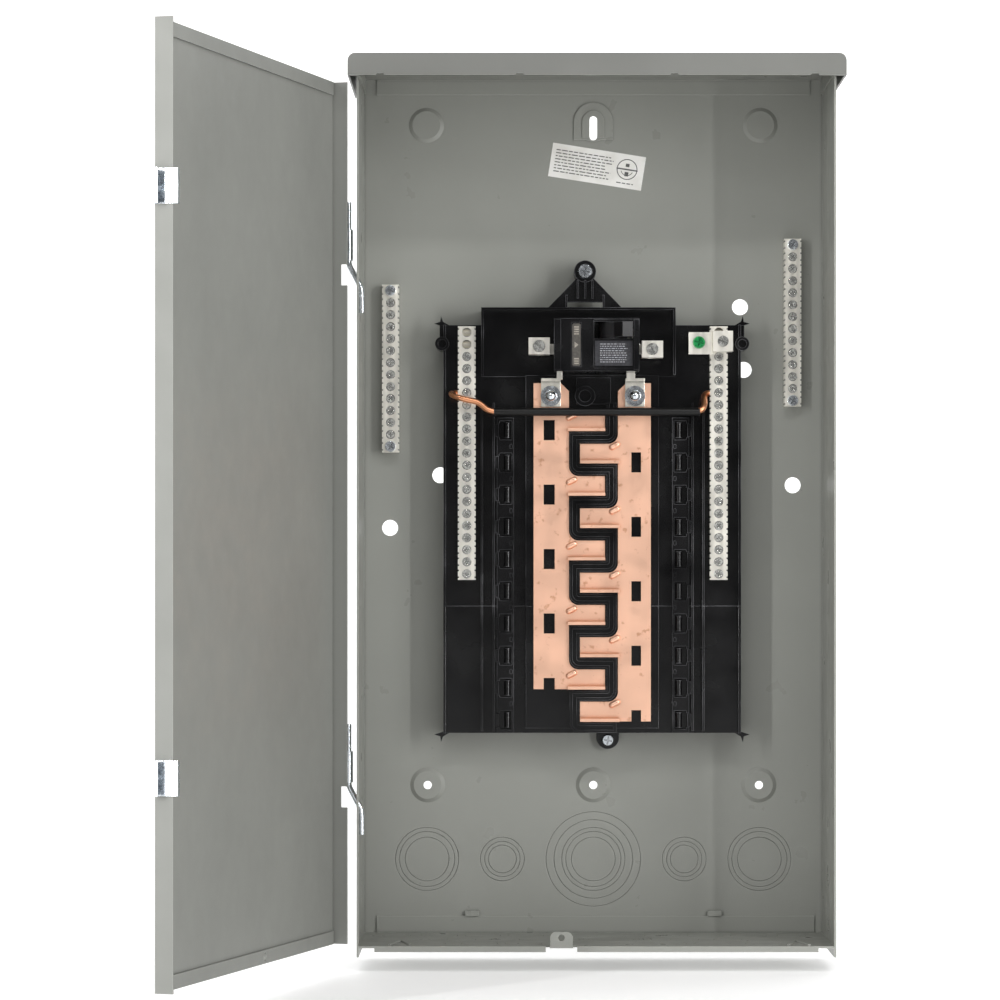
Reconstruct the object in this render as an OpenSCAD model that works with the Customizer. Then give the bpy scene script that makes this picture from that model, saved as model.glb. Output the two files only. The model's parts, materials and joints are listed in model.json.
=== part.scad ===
// Outdoor residential load center: a rain-tight wall box with a hinged door, open to its bus,
// main breaker, neutral bars and ground bars. Millimetres, +Z up, the front faces -Y.
// The origin is the centre of the back's outer face. "Out" is the distance in front of that face.

/* [Enclosure] */
// Width of the box
box_w = 368; // [360:1:380]
// Depth of the box, back face to front edge
box_d = 120.65; // [118:0.05:126]
// Height of the box, from the side walls' feet to the roof's underside
box_h = 689.5; // [686:0.5:700]
// Thickness of the sheet steel
sheet = 1.5; // [1.2:0.1:1.6]
// How far the rain hood reaches past the box's front
hood_reach = 24; // [20:1:36]
// How far the rain hood reaches past each side wall
hood_side = 6; // [5.5:0.5:10]
// Height of the rain hood's skirt
hood_skirt = 17; // [12:1:17]

/* [Door] */
// How far the door stands open at rest
door_open = 106; // [95:1:112]
// Depth of the door's side returns
door_return = 13; // [10:1:13]
// Diameter of the bent-rod hinge pins
hinge_rod_d = 4.5; // [4:0.1:4.5]

/* [Interior] */
// Spacing of the branch breaker rows
row_pitch = 25.4; // [25.4]
// Number of branch breaker rows
row_count = 10; // [10]
// Thickness of the copper bus
bus_t = 2.5; // [2:0.1:3]
// Tilt of the breaker's handle when it is on
handle_tilt = 25; // [20:1:25]

/* [Terminal bars] */
// Spacing of the terminal screws
screw_pitch = 9.525; // [9.525]
// Number of positions on a neutral bar
neutral_count = 21; // [18:1:21]
// Number of positions on a ground bar
ground_count = 14; // [10:1:14]

/* [Hidden] */
$fn = 40;
eps = 0.01;
bend_fullness = 1.08;

// Enclosure
half_w = box_w / 2;
wall_in = half_w - sheet;
foot_z = -345;
roof_z = foot_z + box_h;
floor_top = -336.5;
lap_top = -323.4;
lap_left = -172.5;
lap_right = 176;
lap_tab_x = 96.5;
hood_out = box_d + hood_reach;
hood_half = half_w + hood_side;
skirt_z = roof_z + sheet - hood_skirt;
hem = 5;
hood_corner = 6;
lip_notch_x = [-165, -59, 59, 166];

// Knockout diameters, trade sizes 2-1/2 down to 1/2 inch
ko_25 = 75.4;
ko_20 = 62.7;
ko_15 = 50.4;
ko_12 = 44;
ko_10 = 34.9;
ko_07 = 28.2;
ko_05 = 22.2;
ko_groove = 0.7;
ko_deep = 0.7;
back_ko_z = -278;
wall_ko_out = 60;
wall_ko_z = -308;
floor_rows = [30, 62, 95];

// Wall fixings
boss_z = -219;
boss_x = 132;
boss_r = 14;
boss_h = 2;
wall_hole_r = 3.25;
dimple_x = 133;
dimple_z = 307;
hang_z0 = 295;
hang_z1 = 314;
hang_w = 6;
arch_r = [15.5, 8.8];
arch_rise = [1.2, 2.2];
arch_z = 309.5;
arch_foot = 295.4;
spare_hole_r = 6.35;
spare_holes = [[-162, -14], [-122, 28], [117, 162], [120, 112], [159, 20]];

// Door, drawn closed and then swung open about the hinge axis
hinge_x = -half_w - 6.5;
hinge_out = box_d - 8;
rod_r = hinge_rod_d / 2;
knuckle_bore_r = rod_r + 0.05;
knuckle_r = 3.5;
knuckle_h = 24;
pin_foot_z = [188, -213];
pin_len = 47;
door_half = half_w + 3;
door_in = box_d + 3;
door_out = door_in + sheet;
door_z0 = -335;
door_z1 = 327;
door_hole_x = -26.8;
door_hole_z = -330;
catch_h = 24;
catch_z = [212, -189];
joggle_run = 10;
joggle_drop = 20;
rod_tail = 18;

// Interior base: outline, steps and heights above the back
base_x0 = -119;
base_x1 = 116;
base_z0 = -176.5;
base_z1 = 146;
base_seam = -76;
deck_out = 27;
deck_t = 3;
head_x0 = -89;
head_x1 = 64;
head_z = 159;
head_out = 30;
bus_bed_out = 36;
bed_x0 = -54;
bed_x1 = 51;
bracket_x = -7;
bracket_z = 188.5;
bracket_r = 8.7;
bracket_out = 22;
foot_x = 11.4;
foot_tab_z = -183;
barrel_z = 131;
barrel_r = 5.5;
first_row = 62.6;
rail_outer = [-76.7, 75];
hook_w = 13.4;
rail_end = 10;
rib_x = [-88.5, -79.2, 77.6, 86];

// Bus
bus_top = 99.6;
bus_left_x = [-47.8, -19.9];
bus_right_x = [18.7, 44.6];
finger_h = 13.2;
finger_rise = 1.4;
function finger_z(k) = first_row - row_pitch * k + finger_rise;
left_reach = 8.5;
right_reach = -11.2;
slot_h = 15.8;
slot_left = [-39.8, -31.1];
slot_right = [29.3, 36.9];
pill_r = 2.5;
pill_sunk = 0.9;
pill_in = [2, 2.6];
pill_rise = [9.4, 11.6];
pill_tilt = 27;
stab_h = 8.5;
stab_t = 2.4;
barrier_w = 7.6;
barrier_out = 41.5;
channel_w = 3;
barrier_drop = 7.3;
ring_x = -7.3;
ring_z = 89.4;
ring_out = 42.5;
ring_r = 8;

// Main breaker
brk_x0 = -32;
brk_x1 = 34.5;
brk_z0 = 107.5;
brk_z1 = 148.8;
brk_split = 42;
brk_out = 70;
brk_wall = 2;
rail_left = -26.6;
rail_right = 30.2;
window_x0 = -0.8;
window_z0 = 133;
drum_x = 14.6;
drum_out = 58.4;
drum_r = 11;
drum_z0 = 133.6;
drum_z1 = 146;
handle_len = 25;
handle_t = 9;
pin_r = 2;
run_gap = 0.05;
arm_out = 36;
arm_z = 118;
arm_x = [-24, 17.5];
arm_w = 6;
arm_reach = 22;
contact_gap = 0.3;
lug_x = [-43.5, 45];
lug_z = [127.5, 125];
lug_w = 16.6;
lug_h = 13.2;
lug_out0 = 46;
lug_out1 = 64;
lug_bore_r = 4.6;
lug_bore_out = 53;
strap_t = 2;
load_x = [-34.2, 32];
load_w = 15.4;
load_tab = [[-29.6, -25.2], [25.2, 32]];
load_screw_z = 89.4;

// Terminal bars
neutral_left_x = -100.5;
neutral_right_x = 98.3;
neutral_w = 14;
neutral_top = 144.6;
bar_out = 36;
ground_left = [-161.4, 179.2];
ground_right = [158.4, 215.7];
ground_w = 13.5;
ground_out = 12;
wire_hole_r = 2.5;
term_r = 2.7;
term_hole_r = 3.7;
notch_in = 0.9;
notch_h = 1.2;
notch_dz = 2.7;
wire_r = 2.35;
sleeve_r = 3.2;
wire_z = 76.7;
wire_out = 46;
wire_hole_out = 30.4;
wire_hole_z = 92.2;
wire_route = [[-103, -wire_hole_out, wire_hole_z], [-109, -wire_hole_out, wire_hole_z],
    [-112, -36, 91.5], [-110, -44, 89.5], [-101, -wire_out, 87], [-88, -wire_out, 83],
    [-80, -wire_out, wire_z], [83, -wire_out, wire_z], [86.5, -44, 81], [87, -38, 88],
    [87.6, -33, 91.4], [90.2, -wire_hole_out, wire_hole_z], [96, -wire_hole_out, wire_hole_z]];

// ---- helpers ----

// A block between two X values, two distances out and two Z values
module block(x0, x1, out0, out1, z0, z1) {
    translate([x0, -out1, z0])
        cube([x1 - x0, out1 - out0, z1 - z0]);
}

// A round along Y, from out0 to out1
module round_y(x, z, out0, out1, r, r2 = -1) {
    translate([x, -out0, z])
        rotate([90, 0, 0])
            cylinder(r1 = r, r2 = r2 < 0 ? r : r2, h = out1 - out0);
}

// A round along X, from x0 to x1
module round_x(x0, x1, out, z, r) {
    translate([x0, -out, z])
        rotate([0, 90, 0])
            cylinder(r = r, h = x1 - x0);
}

// A round along Z, from z0 to z1
module round_z(x, out, z0, z1, r) {
    translate([x, -out, z0])
        cylinder(r = r, h = z1 - z0);
}

// A straight rod between two points
module rod(a, b, r) {
    d = b - a;
    len = norm(d);
    translate(a)
        rotate([0, acos(d[2] / len), atan2(d[1], d[0])])
            cylinder(r = r, h = len);
}

function unit(v) = v / norm(v);

// The direction of a route at one of its points
function heading(points, i) =
    i == 0 ? unit(points[1] - points[0])
    : i == len(points) - 1 ? unit(points[i] - points[i - 1])
    : unit(unit(points[i] - points[i - 1]) + unit(points[i + 1] - points[i]));

// A ring of points square to a route, which never runs straight up or down
function ring(points, i, r, sides) =
    let (t = heading(points, i), u = unit(cross(t, [0, 0, 1])), v = cross(u, t))
    [for (k = [0 : sides - 1])
        points[i] + r * (cos(360 * k / sides) * u + sin(360 * k / sides) * v)];

// One closed tube swept along a route
module swept_tube(points, r, sides) {
    n = len(points);
    verts = [for (i = [0 : n - 1]) for (p = ring(points, i, r, sides)) p];
    walls = [for (i = [0 : n - 2]) for (k = [0 : sides - 1])
        let (a = i * sides + k, b = i * sides + (k + 1) % sides)
        each [[a, a + sides, b], [b, a + sides, b + sides]]];
    ends = [[for (k = [0 : sides - 1]) k], [for (k = [sides - 1 : -1 : 0]) (n - 1) * sides + k]];
    polyhedron(points = verts, faces = concat(walls, ends));
}

// The shallow rings that part a knockout from the sheet, cut from +Z down into Z = 0
module ring_cuts(diameters) {
    for (d = diameters)
        translate([0, 0, -ko_deep])
            difference() {
                cylinder(d = d + ko_groove, h = 2 * ko_deep);
                translate([0, 0, -eps]) cylinder(d = d - ko_groove, h = 3 * ko_deep);
            }
}

module back_rings(x, z, diameters) {
    translate([x, -sheet, z]) rotate([90, 0, 0]) ring_cuts(diameters);
}

module floor_rings(x, out, diameters) {
    translate([x, -out, floor_top]) ring_cuts(diameters);
}

module wall_rings(side, diameters) {
    translate([side * wall_in, -wall_ko_out, wall_ko_z])
        rotate([0, -90 * side, 0])
            ring_cuts(diameters);
}

// ---- enclosure ----

module boss_outside(x, z) {
    round_y(x, z, sheet, sheet + boss_h, boss_r, boss_r - 3);
}

module boss_inside(x, z) {
    round_y(x, z, -eps, boss_h, boss_r - 1.2, boss_r - 4.2);
}

module enclosure_wrapper() {
    color("#8b8d85")
    difference() {
        union() {
            block(-half_w, half_w, 0, sheet, foot_z, roof_z);
            for (side = [-1, 1])
                block(side < 0 ? -half_w : wall_in, side < 0 ? -wall_in : half_w,
                    0, box_d, foot_z, roof_z);
            for (x = [-boss_x, 0, boss_x]) boss_outside(x, boss_z);
            for (x = [-dimple_x, dimple_x]) boss_outside(x, dimple_z);
            for (i = [0, 1]) arch_pad(arch_r[i], eps, sheet + arch_rise[i]);
            for (x = [-lap_tab_x, lap_tab_x])
                block(x - 5.5, x + 5.5, sheet, sheet + 3, lap_top + 0.2, lap_top + 4.2);
        }
        for (x = [-boss_x, 0, boss_x]) {
            boss_inside(x, boss_z);
            round_y(x, boss_z, 0, 10, wall_hole_r);
        }
        for (x = [-dimple_x, dimple_x]) boss_inside(x, dimple_z);
        for (i = [0, 1]) arch_pad(arch_r[i] - sheet, -eps, arch_rise[i]);
        hang_slot();
        for (p = spare_holes) round_y(p[0], p[1], -1, 3, spare_hole_r);
        back_rings(0, back_ko_z, [ko_25, ko_20, ko_15, ko_12, ko_10]);
        for (side = [-1, 1]) {
            back_rings(side * 132.5, back_ko_z, [ko_15, ko_12, ko_10]);
            back_rings(side * 72.5, back_ko_z, [ko_10, ko_07, ko_05]);
            wall_rings(side, [ko_12, ko_10, ko_07]);
        }
        for (z = pin_foot_z) rod_slot(z);
    }
}

// One step of the arch pressed forward round the hanging slot
module arch_pad(r, out0, out1) {
    round_y(0, arch_z, out0, out1, r);
    block(-r, r, out0, out1, arch_foot + (arch_r[0] - r) / 4, arch_z);
}

module hang_slot() {
    r = hang_w / 2;
    block(-r, r, -1, 10, hang_z0 + r, hang_z1 - r);
    round_y(0, hang_z0 + r, -1, 10, r);
    round_y(0, hang_z1 - r, -1, 10, r);
}

// The slot where a hinge rod's joggle passes through the left wall
module rod_slot(z) {
    block(-half_w - 1, -wall_in + 1, hinge_out - rod_r - 0.3, hinge_out + rod_r + 0.3,
        z - joggle_drop - 2, z - 6);
}

module bottom_endwall() {
    bottom = floor_top - sheet;
    front = box_d - 1;
    color("#82847c")
    difference() {
        union() {
            block(-wall_in, wall_in, sheet, front, bottom, floor_top);
            block(lap_left, lap_right, sheet, 2 * sheet, floor_top - eps, lap_top);
            block(-wall_in + 12, wall_in - 12, front - sheet, front, bottom - 3, bottom + eps);
            seal_tab(front);
            for (x = [-151, 156]) chevron(x);
        }
        block(door_hole_x - 12, door_hole_x - 9, front - 8, front + 1, bottom - 4, floor_top + 1);
        block(door_hole_x + 9, door_hole_x + 12, front - 8, front + 1, bottom - 4, floor_top + 1);
        block(door_hole_x - 12, door_hole_x + 12, front - 5, front + 1, bottom - 4, bottom);
        round_y(door_hole_x, door_hole_z, front - 5, front + 1, 2.6);
        floor_rings(13, 60, [ko_20, ko_15, ko_12, ko_10]);
        for (side = [-1, 1]) {
            for (x = [54, 88, 122, 156])
                floor_rings(side * x, floor_rows[0], [x == 156 ? ko_05 : ko_07]);
            for (x = [70, 104]) floor_rings(side * x, floor_rows[1], [ko_05]);
            for (x = [56, 90, 130]) floor_rings(side * x, floor_rows[2], [ko_07]);
        }
    }
}

// The tab that takes the door's seal or screw, bent up from the floor's front edge
module seal_tab(front) {
    block(door_hole_x - 8.5, door_hole_x + 8.5, front - sheet, front, floor_top - eps, -328);
    round_y(door_hole_x - 4.5, -329.5, front - sheet, front, 4);
    round_y(door_hole_x + 4.5, -329.5, front - sheet, front, 4);
    block(door_hole_x - 4.5, door_hole_x + 4.5, front - sheet, front, -330, -325.5);
}

// A raised arrow-shaped stiffening rib on the floor
module chevron(x) {
    apex = [x, -76, floor_top];
    for (side = [-1, 1])
        intersection() {
            rod(apex, [x + side * 8, -112, floor_top], 1.2);
            block(x - 20, x + 20, 0, 118, floor_top - 1, floor_top + 5);
        }
}

module top_endwall() {
    under = roof_z - sheet;
    color("#8b8d85") {
        block(-wall_in, wall_in, sheet, box_d - 1, under, roof_z);
        block(-wall_in + 10, wall_in - 10, sheet, 2 * sheet, under - 12, under);
        for (side = [-1, 1])
            block(side < 0 ? -wall_in : wall_in - sheet, side < 0 ? -wall_in + sheet : wall_in,
                8, box_d - 8, under - 12, under);
    }
}

module rain_hood() {
    top = roof_z + sheet;
    color("#94968e")
    difference() {
        union() {
            difference() {
                hood_form(hood_half, 0, hood_out, top, hood_corner);
                hood_form(hood_half - sheet, -1, hood_out - sheet, roof_z, hood_corner - sheet);
            }
            block(-hood_half + eps, hood_half - eps, hood_out - hem, hood_out - eps,
                skirt_z, skirt_z + sheet);
        }
        for (x = lip_notch_x)
            block(x - 3, x + 3, hood_out - hem - 1, hood_out + 1, skirt_z - 1, skirt_z + 1.2);
    }
}

// A block from the skirt's foot up to a top whose two long edges are round
module hood_form(half, out0, out1, top, r) {
    foot = r < hood_corner ? skirt_z - 1 : skirt_z;
    block(-half, half, out0, out1, foot, top - r);
    block(-half + r, half - r, out0, out1, foot, top);
    for (side = [-1, 1]) round_y(side * (half - r), top - r, out0, out1, r);
}

// One rod: a pin outside the left wall, joggled through it, with its tail inside
module hinge_rods() {
    tail_x = hinge_x + joggle_run;
    tail_z = -joggle_drop;
    color("#c2c4c2")
    for (z = pin_foot_z)
        translate([0, -hinge_out, z]) {
            translate([hinge_x, 0, 0]) cylinder(r = rod_r, h = pin_len);
            rod([hinge_x, 0, 0], [tail_x, 0, tail_z], rod_r - 0.1);
            translate([tail_x, 0, tail_z - rod_tail]) cylinder(r = rod_r, h = rod_tail);
            translate([hinge_x, 0, 0]) sphere(r = rod_r * bend_fullness);
            translate([tail_x, 0, tail_z]) sphere(r = rod_r * bend_fullness);
        }
}

// ---- door ----

module swung_open() {
    translate([hinge_x, -hinge_out, 0])
        rotate([0, 0, -door_open])
            translate([-hinge_x, hinge_out, 0])
                children();
}

module door_panel() {
    back = door_out - door_return;
    color("#75776f")
    swung_open()
    difference() {
        union() {
            block(-door_half, door_half, door_in, door_out, door_z0, door_z1);
            for (side = [-1, 1])
                block(side < 0 ? -door_half : door_half - sheet,
                    side < 0 ? -door_half + sheet : door_half, back, door_out, door_z0, door_z1);
            block(-door_half + 4, door_half - 4, door_in - sheet, door_in, door_z1 - 10, door_z1);
            block(-door_half + 4, door_half - 4, door_in - sheet, door_in, door_z0, door_z0 + 10);
        }
        round_y(door_hole_x, door_hole_z, door_in - 3, door_out + 1, 3.5);
        for (z = pin_foot_z)
            block(-door_half - 1, -door_half + sheet + 1, back - 1, back + 5, z - 17, z - 1);
    }
}

// Knuckle loops that drop over the hinge pins, with straps against the door's left return
module door_knuckles() {
    color("#c9c9c4")
    swung_open()
    for (z = pin_foot_z)
        difference() {
            union() {
                round_z(hinge_x, hinge_out, z + 2, z + 2 + knuckle_h, knuckle_r);
                block(-door_half - 1.5, -door_half, hinge_out, door_out, z + 2, z + 2 + knuckle_h);
            }
            round_z(hinge_x, hinge_out, z, z + 4 + knuckle_h, knuckle_bore_r);
        }
}

// Spring catches clipped round the door's free edge: the inner leg rubs along the wall as the
// door shuts, and the outer leg ends in a small pull
module door_catches() {
    tip = door_out - door_return - 4;
    inner = door_half - sheet;
    leg = 1.1;
    color("#c9c9c4")
    swung_open()
    for (z = catch_z) {
        z0 = z - catch_h / 2;
        z1 = z + catch_h / 2;
        difference() {
            union() {
                block(inner - leg, inner, tip, tip + 9, z0, z1);
                block(inner - leg, door_half + leg, tip, tip + leg, z0, z1);
                block(door_half, door_half + leg, tip, door_out, z0, z1);
                block(door_half, door_half + 8, door_out - leg, door_out, z0, z1);
                block(door_half + 8 - leg, door_half + 8, door_out - 5, door_out, z0, z1);
            }
            round_y(door_half + 4, z, door_out - 3, door_out + 1, 1.6);
        }
    }
}

// ---- interior base ----

// Everything of the moulded base that lies between two heights
module base_between(z0, z1) {
    intersection() {
        base_moulding();
        block(-200, 200, 0, 80, z0, z1);
    }
}

module base_moulding() {
    difference() {
        union() {
            block(base_x0, base_x1, sheet, deck_out, base_z0, base_z1);
            block(bed_x0, bed_x1, sheet, bus_bed_out, base_z0 + 4, 106);
            block(head_x0, head_x1, sheet, head_out, 105, head_z);
            for (x = [head_x0, head_x1 - 2]) block(x, x + 2, head_out - eps, 44, 106, head_z);
            block(head_x0, head_x1, head_out - eps, 44, head_z - 2, head_z);
            for (x = rib_x) block(x - 0.8, x + 0.8, deck_out - eps, 38, base_z0 + 2, 84);
            for (x = [base_x0, base_x1 - 2]) block(x, x + 2, deck_out - eps, 33, base_z0, base_z1);
            for (x = [base_x0 - 1, base_x1 + 1]) {
                round_y(x, barrel_z, 12, 34, barrel_r);
                block(x - 2, x + 2, 12, 26, barrel_z, base_z1);
            }
            for (side = [-1, 1])
                for (top = [-1, 1])
                    corner_snap(side < 0 ? base_x0 : base_x1, top < 0 ? base_z0 : base_z1, side, top);
            top_bracket();
            foot_bracket();
        }
        base_hollows();
        for (x = [base_x0 - 1, base_x1 + 1]) round_y(x, barrel_z, 30, 40, barrel_r - 2.2);
        round_y(bracket_x, bracket_z, 0, 40, 2.6);
        round_y(foot_x, foot_tab_z, 0, 40, 2.6);
    }
}

// The space under the deck, open to the back, with a rib left at the seam
module base_hollows() {
    deck = deck_out - deck_t;
    for (z = [[base_z0 + 3, base_seam - 2], [base_seam + 2, 103]])
        for (x = [[base_x0 + 3, bed_x0 - 2], [bed_x0 + 2, -3], [3, bed_x1 - 2],
            [bed_x1 + 2, base_x1 - 3]])
            block(x[0], x[1], sheet - eps, deck, z[0], z[1]);
    for (x = [[base_x0 + 3, head_x0 - 2], [head_x1 + 2, base_x1 - 3]])
        block(x[0], x[1], sheet - eps, deck, 107, base_z1 - 3);
    block(head_x0 + 3, -40, sheet - eps, deck, 107, head_z - 3);
    block(-36, head_x1 - 3, sheet - eps, deck, 107, head_z - 3);
}

module top_bracket() {
    shoulder = 32;
    difference() {
        translate([0, -bracket_out, 0])
            rotate([90, 0, 0])
                linear_extrude(height = 4)
                    polygon([[bracket_x - shoulder, head_z - 2], [bracket_x - 6.5, bracket_z - 5],
                        [bracket_x + 6.5, bracket_z - 5], [bracket_x + shoulder, head_z - 2]]);
        block(bracket_x - 14, bracket_x + 14, 10, 40, head_z + 0.8, head_z + 5.2);
    }
    round_y(bracket_x, bracket_z, sheet, bracket_out + 6, bracket_r);
    for (x = [-15.5, 14])
        block(bracket_x + x, bracket_x + x + 1.5, 14, bracket_out + 6, head_z - 1, head_z + 11);
    for (x = [-6.5, -0.7, 5])
        block(bracket_x + x, bracket_x + x + 1.5, bracket_out, bracket_out + 7, head_z + 8,
            bracket_z - 7);
}

// The two-pointed snap that stands off each corner
module corner_snap(x, z, side, top) {
    translate([x, -22, z])
        scale([side, 1, top])
            rotate([90, 0, 0])
                linear_extrude(height = 3)
                    polygon([[-4, -7], [0, -1], [7.4, 1.4], [2.6, 2.8], [2, 7.6], [0.4, 3], [-8, -2]]);
}

module foot_bracket() {
    block(foot_x - 9, foot_x + 9, sheet, 8, foot_tab_z + 4, base_z0 + 4);
    round_y(foot_x, foot_tab_z + 2, sheet, 8, 9);
}

module upper_base() {
    color("#161617") base_between(base_seam, 260);
}

module lower_base() {
    color("#141415") base_between(-260, base_seam - 0.2);
}

// A rail of breaker hooks: windows with a rounded tongue in each, and a tab on the outer edge
module hook_rail(outer, side) {
    last = first_row - row_pitch * (row_count - 1);
    translate([outer, 0, 0])
        mirror([side < 0 ? 0 : 1, 0, 0]) {
            difference() {
                block(0, hook_w, deck_out, 33, last - rail_end, first_row + rail_end);
                for (k = [0 : row_count - 1])
                    hook_window(first_row - row_pitch * k);
            }
            for (k = [0 : row_count - 1])
                hook_tongue(first_row - row_pitch * k);
        }
}

module hook_window(z) {
    block(2.2, hook_w - 1.6, deck_out + 1.2, 34, z - 7.4, z + 7.4);
    block(-1, 3, deck_out + 1.2, 34, z - 5.6, z + 5.6);
    block(hook_w - 3, hook_w - 1.4, 32, 34, z + 11.2, z + 14.2);
}

module hook_tongue(z) {
    r = 2.4;
    x = 8.2;
    block(x - r, x + r, deck_out + 1, 33.5, z - 6, z + 6);
    round_z(x, 33.5, z - 6, z + 6, r);
    block(-1, 1.4, deck_out, 35, z - 5, z + 5);
}

module hook_rail_left() {
    color("#1b1b1c") hook_rail(rail_outer[0], -1);
}

module hook_rail_right() {
    color("#1b1b1c") hook_rail(rail_outer[1], 1);
}

// ---- bus ----

// A flat bus with fingers on every second row and a slot beside each. Each finger's lower edge
// turns up into a stab
module bus(x0, x1, reach, first, slot) {
    out1 = bus_bed_out + bus_t;
    last = first + row_count - 2;
    side = reach > x0 ? 1 : -1;
    inner = side > 0 ? x1 : x0;
    bottom = finger_z(last) - stab_t;
    difference() {
        union() {
            block(x0, x1, bus_bed_out, out1, bottom, bus_top);
            for (k = [first : 2 : last]) {
                z = finger_z(k);
                root = inner - side;
                block(min(root, reach), max(root, reach), bus_bed_out, out1, z - stab_t,
                    z + finger_h);
                block(min(root, reach), max(root, reach), out1 - eps, out1 + stab_h,
                    z - stab_t, z);
                if (k > 0) bus_fillet(inner, z + finger_h, side);
                angled_pill(inner + side * pill_in[first], finger_z(k) + pill_rise[first], out1);
            }
        }
        for (k = [first : 2 : last]) {
            z = first_row - row_pitch * k;
            block(slot[0], slot[1], bus_bed_out - 1, out1 + 1, z - slot_h / 2, z + slot_h / 2);
        }
        translate([inner, -out1 - 1, bus_top])
            rotate([0, 45, 0])
                cube([9, 2 * (bus_t + 2), 9], center = true);
    }
}

// The copper's round corner above a finger's root, which follows the barrier's bend
module bus_fillet(x, z, side) {
    r = barrier_w;
    difference() {
        block(min(x - side, x + side * r), max(x - side, x + side * r), bus_bed_out,
            bus_bed_out + bus_t, z - 1, z + r);
        round_y(x + side * (r + eps), z + r + eps, bus_bed_out - 1, bus_bed_out + bus_t + 1, r);
    }
}

// The raised stiffening pill at the root of a finger
module angled_pill(x, z, out) {
    half = 2.5;
    intersection() {
        translate([x, -out + pill_sunk, z])
            rotate([0, -pill_tilt, 0]) {
                rotate([0, 90, 0]) cylinder(r = pill_r, h = 2 * half, center = true);
                for (end = [-half, half]) translate([end, 0, 0]) sphere(r = pill_r);
            }
        block(x - 9, x + 9, out - bus_t + 0.5, out + pill_r, z - 9, z + 9);
    }
}

module bus_left() {
    color("#e0a888") bus(bus_left_x[0], bus_left_x[1], left_reach, 0, slot_left);
}

module bus_right() {
    color("#e0a888") bus(bus_right_x[0], bus_right_x[1], right_reach, 1, slot_right);
}

// The insulating wall that winds between the two buses' fingers, with a channel along its top
module bus_barrier() {
    color("#101011")
    difference() {
        union() {
            winding(barrier_w / 2, bus_bed_out, barrier_out);
            block(-14, 13, bus_bed_out, barrier_out - 2, 83, 104);
            round_y(ring_x, ring_z, bus_bed_out, ring_out, ring_r);
        }
        winding(channel_w / 2, barrier_out - 2.5, barrier_out + 1);
        round_y(ring_x, ring_z, bus_bed_out + 2, ring_out + 1, ring_r - 3.4);
    }
}

// Runs down one side of the fingers, bends round under a finger and runs down the other side
module winding(half, out0, out1) {
    left = (bus_left_x[1] + right_reach) / 2;
    right = (bus_right_x[0] + left_reach) / 2;
    inner = barrier_w / 2;
    for (k = [0 : row_count - 1]) {
        x = k % 2 == 0 ? right : left;
        next = left + right - x;
        side = sign(next - x);
        z0 = finger_z(k) - barrier_drop;
        top = k == 0 ? 84 : z0 + row_pitch - half + eps;
        block(x - half, x + half, out0, out1, z0 + inner, top);
        winding_bend(x + side * inner, z0 + inner, -side, half, out0, out1);
        block(min(x + side * inner, next + side * half), max(x + side * inner, next + side * half),
            out0, out1, z0 - half, z0 + half);
    }
}

// A quarter ring about (x, z), below it and on the given side
module winding_bend(x, z, side, half, out0, out1) {
    outer = barrier_w / 2 + half;
    inner = barrier_w / 2 - half;
    intersection() {
        difference() {
            round_y(x, z, out0, out1, outer);
            if (inner > 0) round_y(x, z, out0 - 1, out1 + 1, inner);
        }
        block(min(x, x + side * 20), max(x, x + side * 20), out0 - 1, out1 + 2, z - 20, z);
    }
}

// ---- main breaker ----

module breaker_base() {
    w = brk_wall;
    color("#121213")
    difference() {
        block(brk_x0, brk_x1, head_out, brk_split, brk_z0, brk_z1);
        block(brk_x0 + w, brk_x1 - w, head_out + w, brk_split + 1, brk_z0 + w, brk_z1 - w);
        round_x(brk_x0 - 1, brk_x1 + 1, arm_out, arm_z, pin_r + run_gap);
    }
}

module breaker_cover() {
    w = brk_wall;
    color("#0f0f10")
    difference() {
        union() {
            difference() {
                block(brk_x0, brk_x1, brk_split, brk_out, brk_z0, brk_z1);
                block(brk_x0 + w, brk_x1 - w, brk_split - 1, brk_out - w, brk_z0 + w, brk_z1 - w);
            }
            block(drum_x - 6, drum_x + 6, 50, brk_out - w + eps, drum_z0 - 3.3, drum_z0 - 0.6);
            for (x = [[brk_x0, rail_left], [rail_right, brk_x1]])
                block(x[0], x[1], brk_out - eps, brk_out + 2.5, brk_z0 + 1, brk_z1 - 1);
        }
        block(window_x0, rail_right - 0.4, 56, brk_out + 1, window_z0, drum_z1 + 0.3);
        round_z(drum_x, drum_out, drum_z0 - 3.4, brk_z1 - 0.5, pin_r);
        block(-18.4, -10.6, brk_out - 0.8, brk_out + 1, 111, 145.5);
        block(window_x0, rail_right, brk_out - 0.8, brk_out + 1, 110, brk_z1 - 1.2);
        for (i = [0, 1]) line_strap_space(i);
        for (x = load_tab)
            block(x[0] - 0.3, x[1] + 0.3, brk_split - 1, 47.4, brk_z0 - 1, brk_z0 + 3);
    }
}

module line_strap_space(i) {
    x = lug_x[i];
    inner = i == 0 ? brk_x0 + 5.2 : brk_x1 - 5.2;
    block(min(x, inner), max(x, inner), 43.8, 46.2, 121.8, 130.2);
}

// A drum on an upright pin, with a paddle that is thrown sideways
module breaker_handle() {
    color("#1d1d1f")
    difference() {
        union() {
            round_z(drum_x, drum_out, drum_z0, drum_z1, drum_r);
            translate([drum_x, -drum_out, drum_z0])
                rotate([0, 0, handle_tilt])
                    translate([-handle_t / 2, -handle_len, 0.3])
                        cube([handle_t, handle_len - drum_r + 3, drum_z1 - drum_z0 - 0.6]);
        }
        round_z(drum_x, drum_out, drum_z0 - 1, drum_z1 + 1, pin_r + run_gap);
    }
}

module handle_pin() {
    color("#b9b9b5") round_z(drum_x, drum_out, drum_z0 - 3.3, brk_z1 - 0.6, pin_r);
}

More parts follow.
